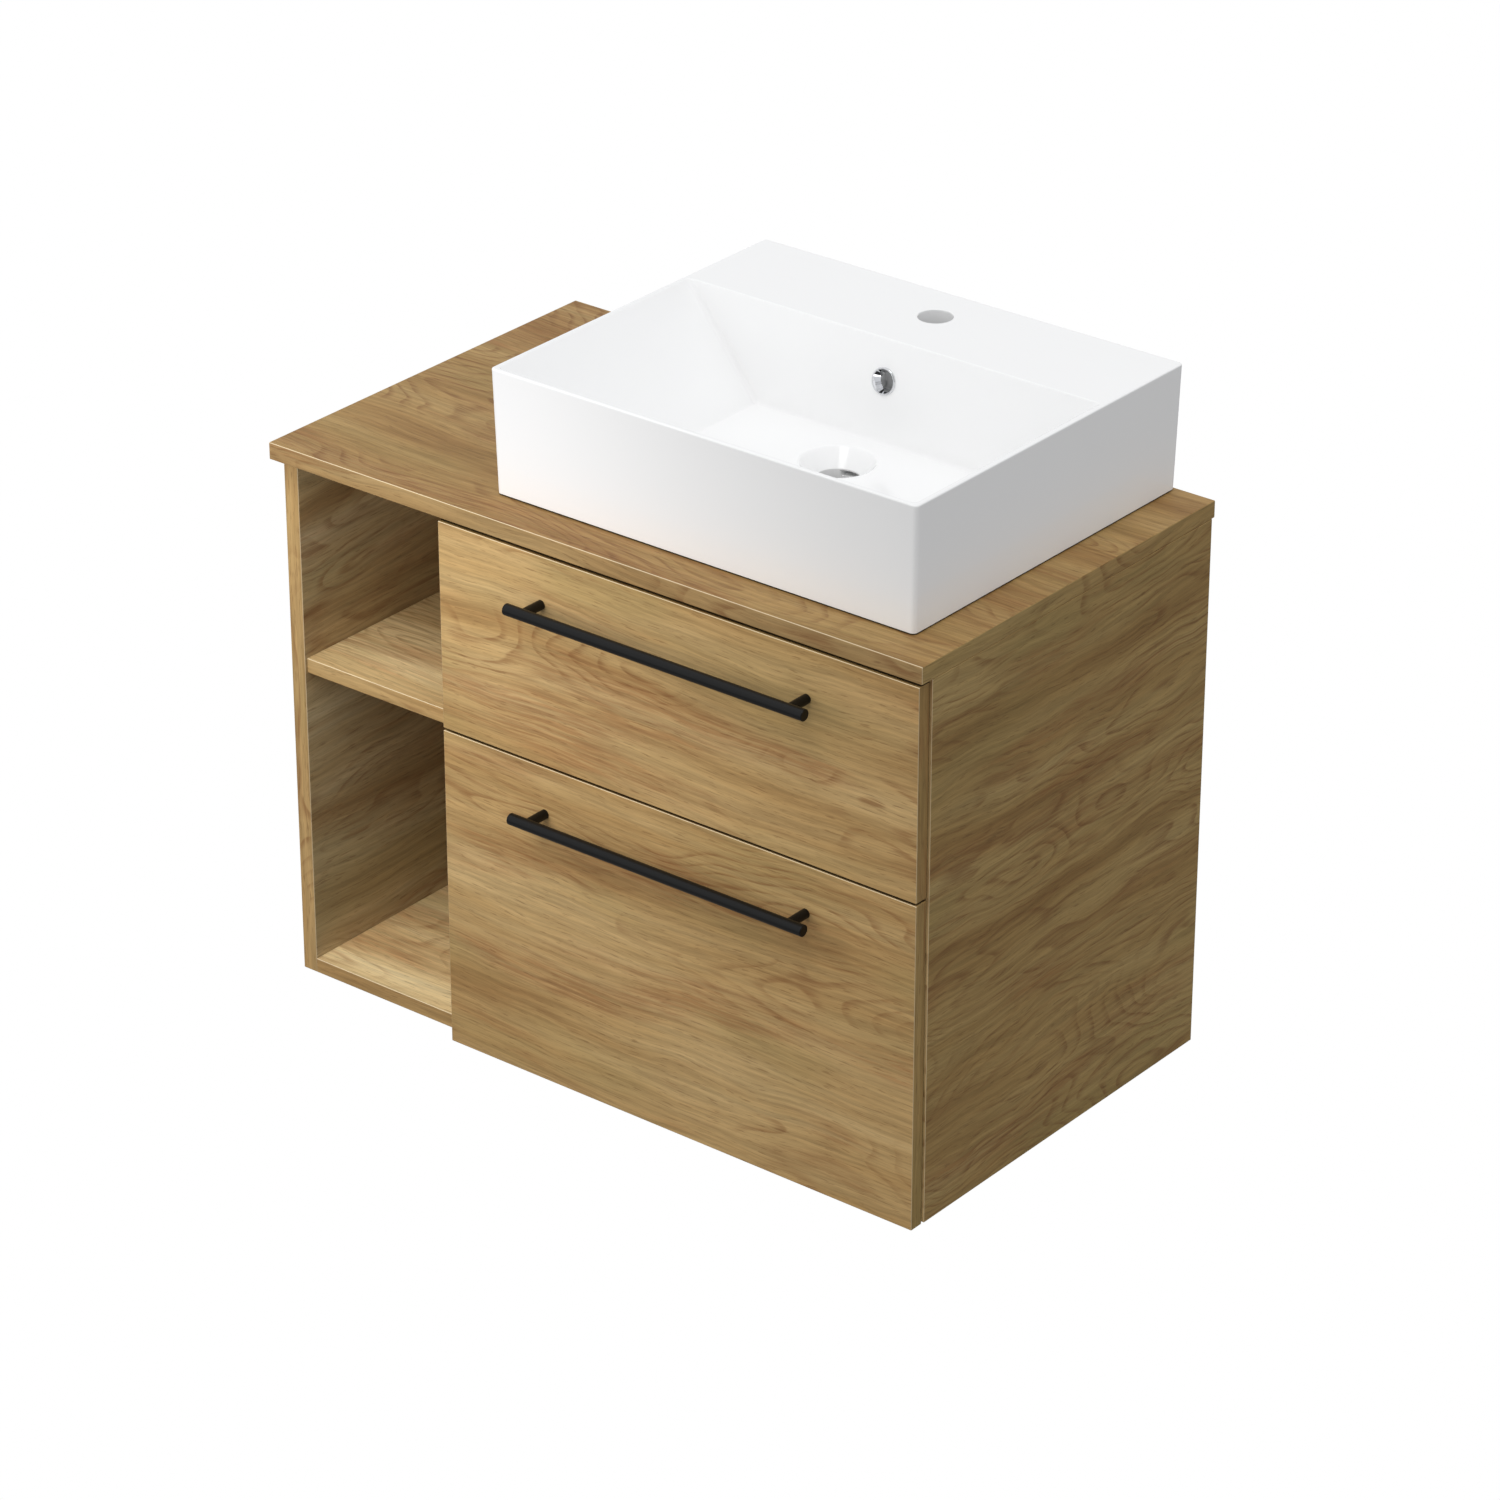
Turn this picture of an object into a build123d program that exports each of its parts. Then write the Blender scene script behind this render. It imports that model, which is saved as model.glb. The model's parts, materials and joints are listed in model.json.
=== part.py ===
from build123d import *
import math
import os

# Vessel sink on a wall-hung vanity: a laminated oak cabinet with an open niche on the left,
# two handled drawers on the right and a rectangular ceramic basin on the worktop.
# Millimetres. +X is to the right, +Y towards the wall, +Z up. The origin is on the wall, at
# the centre of the four screw holes of the two wall plates that carry the cabinet.

# ---- driving dimensions: cabinet ----
WORKTOP_W = 800.0           # worktop width
WORKTOP_D = 464.0           # worktop depth, from the wall to its front edge
WORKTOP_T = 18.0            # worktop thickness
CABINET_H = 592.0           # worktop's upper face down to the side panels' lower edge
HANG_DROP = 110.0           # worktop's upper face above the wall plates' screw centre
PANEL_T = 18.0              # side panels
BOARD_T = 16.0              # divider, shelf, bottoms, rails and drawer fronts
BACK_PANEL_T = 8.0          # niche back panel
NICHE_W = 195.0             # clear width of the open niche
UPPER_NICHE_H = 217.5       # clear height of the upper niche
OVERHANG_LEFT = 4.0         # worktop past the left side panel
WALL_GAP = 4.0              # side panels' back edge in front of the wall
SHELF_SETBACK = 3.5         # niche shelf's front edge behind the side panels' front edge
NICHE_BACK_INSET = 10.0     # niche back panel's rear face in front of the panels' back edge
RAIL_W = 60.0               # width of the two rails that lie under the worktop
LOW_RAIL_H = 100.0          # height of the rail that stands at the back of the bottom
EDGE_R = 1.0                # rounded arris of the visible boards
GROOVE_D = 5.0              # depth of the grooves for the panels that slide in
FIT = 0.1                   # clearance all round a board in its groove

# ---- driving dimensions: drawers ----
FRONT_PROUD = 1.0           # drawer fronts' faces in front of the worktop's front edge
CLOSE_GAP = 0.7             # closed fronts' rear faces in front of the panels' front edges
TOP_GAP = 3.0               # worktop's underside to the upper front
UPPER_FRONT_H = 221.5       # height of the upper drawer front
FRONT_GAP = 2.5             # gap between the two fronts
FRONT_BELOW = 1.8           # lower front past the side panels' lower edge
REVEAL_LEFT = 3.0           # divider's left face to the fronts' left edge
REVEAL_RIGHT = 2.3          # fronts' right edge to the right side panel's outer face
DRAWER_L = 400.0            # length of the drawer boxes and of their runners
DRAWER_SIDE_T = 12.0        # drawer sides and backs
DRAWER_BOTTOM_T = 8.0       # drawer bottoms
BOTTOM_UP = 10.0            # drawer bottom's underside above the sides' lower edge
UPPER_BOX_H = 130.0         # height of the upper drawer's sides
UPPER_BOX_UP = 17.5         # their lower edge above the lower edge of the front
LOWER_BOX_H = 200.0
LOWER_BOX_UP = 34.0
RUNNER_GAP = 12.7           # room for a runner between drawer side and cabinet
RUNNER_H = 45.0             # height of a runner
RUNNER_UP = 45.0            # runner's centre line above the drawer side's lower edge
SHEET_T = 1.2               # sheet thickness of the runner members
MEMBER_GAP = 0.4            # play between nested runner members
HEAD_ROOM = 2.2             # room between the members' webs for the screw heads
RAIL_SHORT = 3.7            # fixed member's flanges end this far from the drawer side
MIDDLE_SHORT = 0.6          # middle member's flanges from the moving web
SLIDE_SHORT = 0.8           # moving member's flanges from the middle web
RUNNER_INSET = 4.0          # runner's front end behind the drawer front
TRAP_W = 160.0              # clear width of the recess for the trap
TRAP_REACH = 60.0           # recess in front of the drain's centre
TRAP_R = 20.0               # recess corner radius
LINER_T = 3.0               # wall of the moulded recess liner
BUMPER_R = 4.0              # soft dots that the fronts close against
BUMPER_INSET = 25.0         # dots from the fronts' upper and lower edges
BUMPER_PLAY = 0.1

# ---- driving dimensions: handles ----
BAR_D = 12.0                # handle bar diameter
BAR_L = 360.0               # handle bar length
POST_D = 10.0               # handle post diameter
POST_SPACING = 320.0        # handle screw spacing
POST_REACH = 28.0           # bar's axis in front of the drawer front
HANDLE_DROP = 50.5          # bar's axis below the front's upper edge
BAR_END_R = 0.8             # rounding of the bar's ends
HANDLE_SCREW_D = 4.0        # handle screw shank diameter
HANDLE_SCREW_IN = 10.0      # handle screw inside the post

# ---- driving dimensions: basin ----
BASIN_W = 507.0             # basin width at the rim
BASIN_D = 420.0             # basin depth at the rim
BASIN_RISE = 131.0          # rim above the worktop
BASIN_X = -3.0              # basin's centre line from the middle of the drawer bay
BASIN_DRAFT = 3.0           # how far each outer wall leans in towards the foot
BASIN_CORNER_R = 5.0        # outer upright corners
RIM_T = 5.3                 # flat rim between the outer wall and the bowl
RIM_R = 1.6                 # rounding of the rim's edges
DECK_D = 128.0              # rear deck, from the wall to the bowl
BOWL_DEPTH = 100.0          # rim down to the bowl's floor
BOWL_SIDE_RUN = 101.0       # how far the left and right slopes run in
BOWL_END_RUN = 20.0         # how far the front and back walls run in
BOWL_R = 5.0                # rounding between slopes, and between slopes and floor
WALL_T = 8.0                # outer ceramic wall
FRONT_WALL_T = 20.0         # ceramic at the front, behind the outer face
SHELL_T = 9.0               # ceramic under the bowl
DECK_T = 10.0               # ceramic of the tap deck
TAP_HOLE_D = 35.0           # tap hole
TAP_FROM_WALL = 55.0        # tap hole's centre from the wall
TAP_BOSS_D = 59.0           # thickened ceramic round the tap hole
TAP_SEAT_T = 22.0           # its thickness, which the tap clamps
TAP_EDGE_R = 1.2            # rounding of the tap hole's upper edge
DRAIN_HOLE_D = 46.0         # drain hole
DRAIN_MOUTH_D = 76.0        # conical seat round the drain hole, at the bowl's floor
DRAIN_CONE_H = 18.0         # depth of the conical seat
DRAIN_MOUTH_R = 4.0         # rounding of its lip
DRAIN_FROM_BOWL_BACK = 80.0  # drain's centre in front of the bowl's rear edge
DRAIN_HOLE_L = 10.5         # straight drain hole below the seat
DRAIN_BOSS_D = 96.0
OVERFLOW_DROP = 41.0        # overflow's centre below the rim
OVERFLOW_HOLE_D = 23.6
OVERFLOW_CLEAR = 4.0        # duct's clear height above the overflow hole
OVERFLOW_REACH = (-5.0, 18.0)  # overflow hole's cutter, from in front of the bowl into the duct
RING_D = 27.5               # overflow ring's flange diameter
RING_PROUD = 1.8            # flange off the bowl's wall
RING_R = 0.7                # rounding of the flange
RING_MOUTH_D = 24.0         # wide end of the ring's funnel
RING_THROAT_D = 16.0        # narrow end of the funnel, where the ring stops
RING_TUBE_L = 5.5           # ring inside the hole
DUCT_W = 24.0               # overflow duct's clear width
DUCT_DEEP = 10.0            # upright duct's clear depth
DUCT_LOW_H = 6.0            # clear height of the duct under the bowl's floor
DUCT_FLOOR_T = 3.0          # ceramic below it
DUCT_WALL = 6.0             # ceramic round the duct
SEAL_T = 1.5                # bead between basin and worktop
SEAL_W = 5.0
SEAL_INSET = 3.0            # bead's outer edge inside the basin's foot
WORKTOP_DRAIN_D = 100.0     # hole in the worktop under the drain
WORKTOP_TAP_D = 60.0        # hole in the worktop under the tap

# ---- driving dimensions: wall fixing and fasteners ----
PLATE_W = 40.0              # wall plate width
PLATE_T = 2.5               # wall plate sheet
PLATE_HOLE_D = 6.5
PLATE_HOLE_SPACING = 30.0   # upright spacing of a wall plate's two holes
PLATE_MARGIN = 12.0         # plate below its lower hole's centre
PLATE_INSET = 21.0          # plate's centre from the inner face it stands beside
LIP_H = 14.0                # upturned lip that the hook hangs on
LIP_REACH = 9.0             # lip's front face from the wall
LEDGE_UP = 13.0             # ledge's underside above the plate's upper hole
HOOK_T = 3.0                # hook sheet
HOOK_ABOVE = 10.0           # hook above the lip
HOOK_BELOW = 8.0            # hook below the ledge
HOOK_INSET = 4.0            # hook's front edge inside the housing
HOOK_OFF_WALL = 0.5         # hook's tip in front of the plate
HOOK_PLAY = 0.1             # play between hook and lip
NOSE_GAP = 1.5              # hook above the ledge, behind the lip
SLOT_PLAY = 0.3             # play round the hook in its housing
HOUSING_T = 14.0            # hanger housing, off the panel
HOUSING_D = 30.0
HOUSING_H = 56.0
HOUSING_BACK = 14.0         # housing's rear face from the wall
HOUSING_DOWN = 4.0          # housing below the rail above it
HOUSING_R = 3.0             # housing's rounded corners
HOUSING_SCREW_INSET = 8.0   # fixing screws from the housing's front and rear faces
HOUSING_SCREW_DOWN = 6.0    # fixing screws below the housing's upper face
DOWEL_D = 8.0
DOWEL_L = 30.0
DOWEL_IN_FACE = BOARD_T - GROOVE_D - 1.0    # dowel in the face it enters, short of the groove
SMALL_DOWEL_D = 6.0
SMALL_DOWEL_L = 24.0
SMALL_DOWEL_IN_FACE = 8.0
DOWEL_ROW_FRONT = 60.0      # front row of dowels behind the panels' front edge
DOWEL_ROW_BACK = 90.0       # rear row in front of the panels' back edge
NICHE_DOWEL_SHIFT = 20.0    # niche dowels stand this much nearer to each other
BOX_DOWEL_LOW = 26.0        # drawer dowels above the sides' lower edge
BOX_DOWEL_HIGH = 22.0       # drawer dowels below the sides' upper edge
WOOD_SCREW_R = 2.0          # worktop and hanger screws
WORKTOP_SCREW_SHORT = 5.0   # worktop screws end this much below its upper face
RUNNER_SCREW_R = 1.75
RUNNER_SCREW_IN = 10.0      # runner screws in the boards
PAN_HEAD = (4.0, 2.5)       # head radius and height of worktop and hanger screws
ADJUSTER_HEAD = (3.5, 3.0)
FLAT_HEAD = (3.5, 1.6)      # runner screws
HANDLE_HEAD = (4.0, 2.2)
BORE_PLAY = 0.02            # radial room round dowels and screws

# ---- places worked out from the driving dimensions ----
BAY_W = WORKTOP_W - OVERHANG_LEFT - 2 * PANEL_T - NICHE_W - BOARD_T
BAY = BAY_W / 2                                  # inner faces of the drawer bay are at +-BAY
DIVIDER_LEFT = -BAY - BOARD_T
LEFT_INNER = DIVIDER_LEFT - NICHE_W
LEFT_OUTER = LEFT_INNER - PANEL_T
WORKTOP_LEFT = LEFT_OUTER - OVERHANG_LEFT
RIGHT_OUTER = BAY + PANEL_T
WORKTOP_FRONT = -WORKTOP_D
FACE_Y = WORKTOP_FRONT - FRONT_PROUD
FRONT_BACK = FACE_Y + BOARD_T
PANEL_FRONT = FRONT_BACK + CLOSE_GAP
PANEL_BACK = -WALL_GAP
TOP = HANG_DROP
CARCASS_TOP = TOP - WORKTOP_T
BOTTOM = TOP - CABINET_H
BOTTOM_TOP = BOTTOM + BOARD_T
RAIL_LOW = CARCASS_TOP - BOARD_T
SHELF_TOP = CARCASS_TOP - UPPER_NICHE_H
FRONT_LEFT = DIVIDER_LEFT + REVEAL_LEFT
FRONT_RIGHT = RIGHT_OUTER - REVEAL_RIGHT
BOX_BACK = FRONT_BACK + DRAWER_L
BOX = BAY - RUNNER_GAP                           # outer faces of the drawer boxes
BOX_IN = BOX - DRAWER_SIDE_T
RIM_Z = TOP + BASIN_RISE
FOOT_Z = TOP + SEAL_T
FLOOR_Z = RIM_Z - BOWL_DEPTH
DRAIN_Y = -DECK_D - DRAIN_FROM_BOWL_BACK
OVERFLOW_Y = -DECK_D - BOWL_END_RUN * OVERFLOW_DROP / BOWL_DEPTH
TAP_Y = -TAP_FROM_WALL
SIDES = ((-1, "left"), (1, "right"))


# ---- shared shapes ----
def block(x, y, z):
    """Box between the two values given for each axis."""
    middle = [(a + b) / 2 for a, b in (x, y, z)]
    return Pos(*middle) * Box(abs(x[1] - x[0]), abs(y[1] - y[0]), abs(z[1] - z[0]))


def board(x, y, z, radius=EDGE_R):
    """A visible board: a box with every arris slightly rounded."""
    plain = block(x, y, z)
    return fillet(plain.edges(), radius)


def rod(start, end, radius):
    """Round bar between two points that differ along one axis."""
    a, b = Vector(*start), Vector(*end)
    return Solid.make_cylinder(radius, (b - a).length, Plane(origin=a, z_dir=b - a))


def screw(head_at, direction, length, shank_r, head):
    """Screw: its head (radius, height) stands outside head_at, the shank runs along direction."""
    at, way = Vector(*head_at), Vector(*direction)
    head_r, head_h = head
    return rod(at - way * head_h, at, head_r) + rod(at, at + way * length, shank_r)


def screw_bore(head_at, direction, length, shank_r):
    """Clearance cutter for a screw's shank."""
    at, way = Vector(*head_at), Vector(*direction)
    return rod(at, at + way * length, shank_r + BORE_PLAY)


def bores(places, radius):
    """Clearance cutters for rods or shanks given as (start, end) pairs."""
    return [rod(a, b, radius + BORE_PLAY) for a, b in places]


def along(point, axis, amount):
    """The point moved by amount along axis 0, 1 or 2."""
    moved = list(point)
    moved[axis] += amount
    return tuple(moved)


def dowel_place(at, axis, way, length, in_face):
    """Ends of a dowel that enters a face at `at`; way is +1 or -1 out of that face."""
    return along(at, axis, -way * in_face), along(at, axis, way * (length - in_face))


def group(solids):
    """Separate solids that share one node."""
    return Compound(children=[s.solid() for s in solids])


parts = {}


# ---- cabinet fasteners: where they go, worked out before the boards that they join ----
FRONT_ROW = PANEL_FRONT + DOWEL_ROW_FRONT
BACK_ROW = PANEL_BACK - DOWEL_ROW_BACK


def carcass_dowels():
    """Ends of every dowel between the cabinet's boards."""
    places = []

    def sideways(x, way, ys, z):
        places.extend(dowel_place((x, y, z), 0, way, DOWEL_L, DOWEL_IN_FACE) for y in ys)

    niche_rows = (FRONT_ROW + NICHE_DOWEL_SHIFT, BACK_ROW - NICHE_DOWEL_SHIFT)
    for z in (SHELF_TOP - BOARD_T / 2, BOTTOM + BOARD_T / 2):
        sideways(LEFT_INNER, 1, niche_rows, z)
        sideways(DIVIDER_LEFT, -1, niche_rows, z)
    for side, _ in SIDES:
        face = side * BAY
        sideways(face, -side, (FRONT_ROW, BACK_ROW), BOTTOM + BOARD_T / 2)
        sideways(face, -side, (PANEL_FRONT + RAIL_W / 2,), CARCASS_TOP - BOARD_T / 2)
        sideways(face, -side, (PANEL_BACK - RAIL_W * 0.75,), CARCASS_TOP - BOARD_T / 2)
        for share in (0.25, 0.75):
            z = BOTTOM_TOP + LOW_RAIL_H * share
            sideways(face, -side, (PANEL_BACK - BOARD_T / 2,), z)
    uprights = (LEFT_OUTER + PANEL_T / 2, DIVIDER_LEFT + BOARD_T / 2, RIGHT_OUTER - PANEL_T / 2)
    for x in uprights:
        for y in (FRONT_ROW, BACK_ROW):
            places.append(dowel_place((x, y, CARCASS_TOP), 2, -1, DOWEL_L, DOWEL_IN_FACE))
    return places


DOWELS = carcass_dowels()
DOWEL_BORES = bores(DOWELS, DOWEL_D / 2)
parts["carcass_dowels"] = group([rod(a, b, DOWEL_D / 2) for a, b in DOWELS])

WORKTOP_SCREW_L = BOARD_T + WORKTOP_T - WORKTOP_SCREW_SHORT
WORKTOP_SCREWS = [
    (x, y, RAIL_LOW)
    for x in (-BAY_W * 0.35, BAY_W * 0.35)
    for y in (PANEL_FRONT + RAIL_W / 2, PANEL_BACK - RAIL_W / 2)
]
parts["worktop_screws"] = group(
    [screw(p, (0, 0, 1), WORKTOP_SCREW_L, WOOD_SCREW_R, PAN_HEAD) for p in WORKTOP_SCREWS]
)
WORKTOP_SCREW_BORES = [
    screw_bore(p, (0, 0, 1), WORKTOP_SCREW_L, WOOD_SCREW_R) for p in WORKTOP_SCREWS
]


# ---- hangers and wall plates, one pair in each rear corner of the drawer bay ----
HOUSING_TOP = RAIL_LOW - HOUSING_DOWN
HOUSING_LOW = HOUSING_TOP - HOUSING_H
HOUSING_FRONT = -HOUSING_BACK - HOUSING_D
LEDGE_Z = PLATE_HOLE_SPACING / 2 + LEDGE_UP      # underside of the plate's ledge
LIP_TOP = LEDGE_Z + LIP_H
HOOK_FRONT = HOUSING_FRONT + HOOK_INSET
HOOK_TIP_Y = -PLATE_T - HOOK_OFF_WALL
HOOK_Z = (LEDGE_Z - HOOK_BELOW, LIP_TOP + HOOK_ABOVE)
HANGER_SCREW_IN = BOARD_T - GROOVE_D - 2.0
HANGER_SCREWS = []
ADJUSTERS = []


def hook_outline():
    """Side view of the hook: a plate whose nose drops behind the wall plate's lip."""
    nose_back = -LIP_REACH + PLATE_T + HOOK_PLAY
    nose_low = LEDGE_Z + PLATE_T + NOSE_GAP
    lip_front = -LIP_REACH - HOOK_PLAY
    low, top = HOOK_Z
    return [
        (HOOK_FRONT, top), (HOOK_TIP_Y, top), (HOOK_TIP_Y, nose_low), (nose_back, nose_low),
        (nose_back, LIP_TOP), (lip_front, LIP_TOP), (lip_front, low), (HOOK_FRONT, low),
    ]


for side, name in SIDES:
    face = side * BAY
    middle = side * (BAY - HOUSING_T / 2)
    inner = side * (BAY - HOUSING_T)
    outline = Plane.YZ * make_face(Polyline(*hook_outline(), close=True))
    hook = Pos(middle, 0, 0) * extrude(outline, HOOK_T / 2, both=True)
    slot_x = (middle - HOOK_T / 2 - SLOT_PLAY, middle + HOOK_T / 2 + SLOT_PLAY)
    slot_z = (HOOK_Z[0] - 1, HOOK_Z[1] + 1)
    slot = block(slot_x, (HOOK_FRONT - SLOT_PLAY, -HOUSING_BACK + 1), slot_z)
    housing = block((face, inner), (HOUSING_FRONT, -HOUSING_BACK), (HOUSING_LOW, HOUSING_TOP))
    housing = fillet(housing.edges().filter_by(Axis.X), HOUSING_R) - slot
    for y in (HOUSING_FRONT + HOUSING_SCREW_INSET, -HOUSING_BACK - HOUSING_SCREW_INSET):
        head_at = (inner, y, HOUSING_TOP - HOUSING_SCREW_DOWN)
        HANGER_SCREWS.append((head_at, (side, 0, 0), HOUSING_T + HANGER_SCREW_IN))
    for z in (LEDGE_Z + 2.0, LIP_TOP + 2.0):
        ADJUSTERS.append(((middle, HOUSING_FRONT, z), (0, 1, 0), HOOK_FRONT - HOUSING_FRONT))
    plate_x = side * (BAY - PLATE_INSET)
    across = (plate_x - PLATE_W / 2, plate_x + PLATE_W / 2)
    plate_low = -PLATE_HOLE_SPACING / 2 - PLATE_MARGIN
    plate = block(across, (-PLATE_T, 0), (plate_low, LEDGE_Z + PLATE_T))
    plate += block(across, (-LIP_REACH, -PLATE_T), (LEDGE_Z, LEDGE_Z + PLATE_T))
    plate += block(across, (-LIP_REACH, -LIP_REACH + PLATE_T), (LEDGE_Z, LIP_TOP))
    for z in (-PLATE_HOLE_SPACING / 2, PLATE_HOLE_SPACING / 2):
        plate -= rod((plate_x, -PLATE_T - 1, z), (plate_x, 1, z), PLATE_HOLE_D / 2)
    parts[f"{name}_hanger_housing"] = housing
    parts[f"{name}_hanger_hook"] = hook
    parts[f"{name}_wall_plate"] = plate

HANGER_BORES = [
    screw_bore(at, way, length, WOOD_SCREW_R) for at, way, length in HANGER_SCREWS + ADJUSTERS
]
for _, name in SIDES:
    parts[f"{name}_hanger_housing"] -= HANGER_BORES
parts["hanger_fixing_screws"] = group(
    [screw(at, way, length, WOOD_SCREW_R, PAN_HEAD) for at, way, length in HANGER_SCREWS]
)
parts["hanger_adjusting_screws"] = group(
    [screw(at, way, length, WOOD_SCREW_R, ADJUSTER_HEAD) for at, way, length in ADJUSTERS]
)


# ---- runners: three nested channels on each side of each drawer ----
RUNNER_FRONT = FRONT_BACK + RUNNER_INSET
RUNNER_BACK = FRONT_BACK + DRAWER_L
SCREW_YS = [RUNNER_FRONT + DRAWER_L * share for share in (0.09, 0.45, 0.88)]
DRAWERS = {
    "upper": {
        "front": (CARCASS_TOP - TOP_GAP - UPPER_FRONT_H, CARCASS_TOP - TOP_GAP),
        "up": UPPER_BOX_UP,
        "height": UPPER_BOX_H,
    },
    "lower": {
        "front": (BOTTOM - FRONT_BELOW, CARCASS_TOP - TOP_GAP - UPPER_FRONT_H - FRONT_GAP),
        "up": LOWER_BOX_UP,
        "height": LOWER_BOX_H,
    },
}


def channel(side, web_off, reach_off, half_h, z):
    """Sheet channel along Y: web web_off from the cabinet's face, flanges out to reach_off."""
    way = 1 if reach_off > web_off else -1
    face = side * BAY

    def x(off):
        return face - side * off

    span = (RUNNER_FRONT, RUNNER_BACK)
    outer = block((x(web_off), x(reach_off)), span, (z - half_h, z + half_h))
    inner_z = (z - half_h + SHEET_T, z + half_h - SHEET_T)
    inner = block((x(web_off + way * SHEET_T), x(reach_off + way)), span, inner_z)
    return outer - inner


cabinet_runner_screws = []
drawer_runner_screws = {}
for drawer, spec in DRAWERS.items():
    spec["box_low"] = spec["front"][0] + spec["up"]
    spec["box_top"] = spec["box_low"] + spec["height"]
    spec["runner_z"] = spec["box_low"] + RUNNER_UP
    z = spec["runner_z"]
    half = RUNNER_H / 2
    middle_half = half - SHEET_T - MEMBER_GAP
    inner_half = middle_half - SHEET_T - MEMBER_GAP
    drawer_runner_screws[drawer] = []
    for side, name in SIDES:
        fixed = channel(side, 0, RUNNER_GAP - RAIL_SHORT, half, z)
        middle_web = SHEET_T + HEAD_ROOM
        middle_reach = RUNNER_GAP - SHEET_T - MIDDLE_SHORT
        middle = channel(side, middle_web, middle_reach, middle_half, z)
        moving = channel(side, RUNNER_GAP, middle_web + SHEET_T + SLIDE_SHORT, inner_half, z)
        for y in SCREW_YS:
            at_panel = (side * (BAY - SHEET_T), y, z)
            cabinet_runner_screws.append((at_panel, (side, 0, 0)))
            at_drawer = (side * (BOX + SHEET_T), y, z)
            drawer_runner_screws[drawer].append((at_drawer, (-side, 0, 0)))
        parts[f"{drawer}_{name}_runner_rail"] = fixed
        parts[f"{drawer}_{name}_runner_middle"] = middle
        parts[f"{drawer}_{name}_runner_slide"] = moving


def runner_screws(places):
    """The screws, and the bores that they need in the channel and in the board behind."""
    length = SHEET_T + RUNNER_SCREW_IN
    solids = [screw(at, way, length, RUNNER_SCREW_R, FLAT_HEAD) for at, way in places]
    cutters = [screw_bore(at, way, length, RUNNER_SCREW_R) for at, way in places]
    return solids, cutters


solids, RUNNER_BORES = runner_screws(cabinet_runner_screws)
parts["runner_rail_screws"] = group(solids)
for drawer in DRAWERS:
    solids, cutters = runner_screws(drawer_runner_screws[drawer])
    DRAWERS[drawer]["runner_bores"] = cutters
    parts[f"{drawer}_drawer_runner_screws"] = group(solids)
    for _, name in SIDES:
        parts[f"{drawer}_{name}_runner_rail"] -= RUNNER_BORES
        parts[f"{drawer}_{name}_runner_slide"] -= cutters


# ---- cabinet boards ----
PANEL_Y = (PANEL_FRONT, PANEL_BACK)
SIDE_Z = (BOTTOM, CARCASS_TOP)
BACK_PANEL_Y = (PANEL_BACK - NICHE_BACK_INSET - BACK_PANEL_T, PANEL_BACK - NICHE_BACK_INSET)
NICHE_X = (LEFT_INNER, DIVIDER_LEFT)
BAY_X = (-BAY, BAY)

drain_cut = rod((BASIN_X, DRAIN_Y, CARCASS_TOP - 1), (BASIN_X, DRAIN_Y, TOP + 1), WORKTOP_DRAIN_D / 2)
tap_cut = rod((BASIN_X, TAP_Y, RAIL_LOW - 1), (BASIN_X, TAP_Y, TOP + 1), WORKTOP_TAP_D / 2)
worktop = board((WORKTOP_LEFT, RIGHT_OUTER), (WORKTOP_FRONT, 0), (CARCASS_TOP, TOP))
worktop -= [drain_cut, tap_cut] + DOWEL_BORES + WORKTOP_SCREW_BORES
parts["worktop"] = worktop

groove_x = (LEFT_INNER - GROOVE_D, DIVIDER_LEFT + GROOVE_D)
groove_y = (BACK_PANEL_Y[0] - FIT, BACK_PANEL_Y[1] + FIT)
groove = block(groove_x, groove_y, (BOTTOM_TOP, CARCASS_TOP))
back_x = (groove_x[0] + FIT, groove_x[1] - FIT)
back_panel = block(back_x, BACK_PANEL_Y, (BOTTOM_TOP, CARCASS_TOP))
parts["niche_back_panel"] = back_panel

UPRIGHTS = {
    "left_side_panel": (LEFT_OUTER, LEFT_INNER),
    "divider_panel": (DIVIDER_LEFT, -BAY),
    "right_side_panel": (BAY, RIGHT_OUTER),
}
for name, across in UPRIGHTS.items():
    upright = board(across, PANEL_Y, SIDE_Z)
    parts[name] = upright - (DOWEL_BORES + RUNNER_BORES + HANGER_BORES + [groove])

shelf_y = (PANEL_FRONT + SHELF_SETBACK, BACK_PANEL_Y[0])
BOARDS = {
    "niche_shelf": (NICHE_X, shelf_y, (SHELF_TOP - BOARD_T, SHELF_TOP)),
    "niche_bottom": (NICHE_X, PANEL_Y, (BOTTOM, BOTTOM_TOP)),
    "drawer_bay_bottom": (BAY_X, PANEL_Y, (BOTTOM, BOTTOM_TOP)),
}
for name, spans in BOARDS.items():
    flat = block(*spans)
    flat = fillet(flat.edges().filter_by(Axis.X), EDGE_R)
    parts[name] = flat - DOWEL_BORES

RAILS = {
    "top_front_rail": ((PANEL_FRONT, PANEL_FRONT + RAIL_W), (RAIL_LOW, CARCASS_TOP)),
    "top_back_rail": ((PANEL_BACK - RAIL_W, PANEL_BACK), (RAIL_LOW, CARCASS_TOP)),
    "lower_back_rail": ((PANEL_BACK - BOARD_T, PANEL_BACK), (BOTTOM_TOP, BOTTOM_TOP + LOW_RAIL_H)),
}
for name, (deep, high) in RAILS.items():
    parts[name] = block(BAY_X, deep, high) - (DOWEL_BORES + WORKTOP_SCREW_BORES + [tap_cut])

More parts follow.
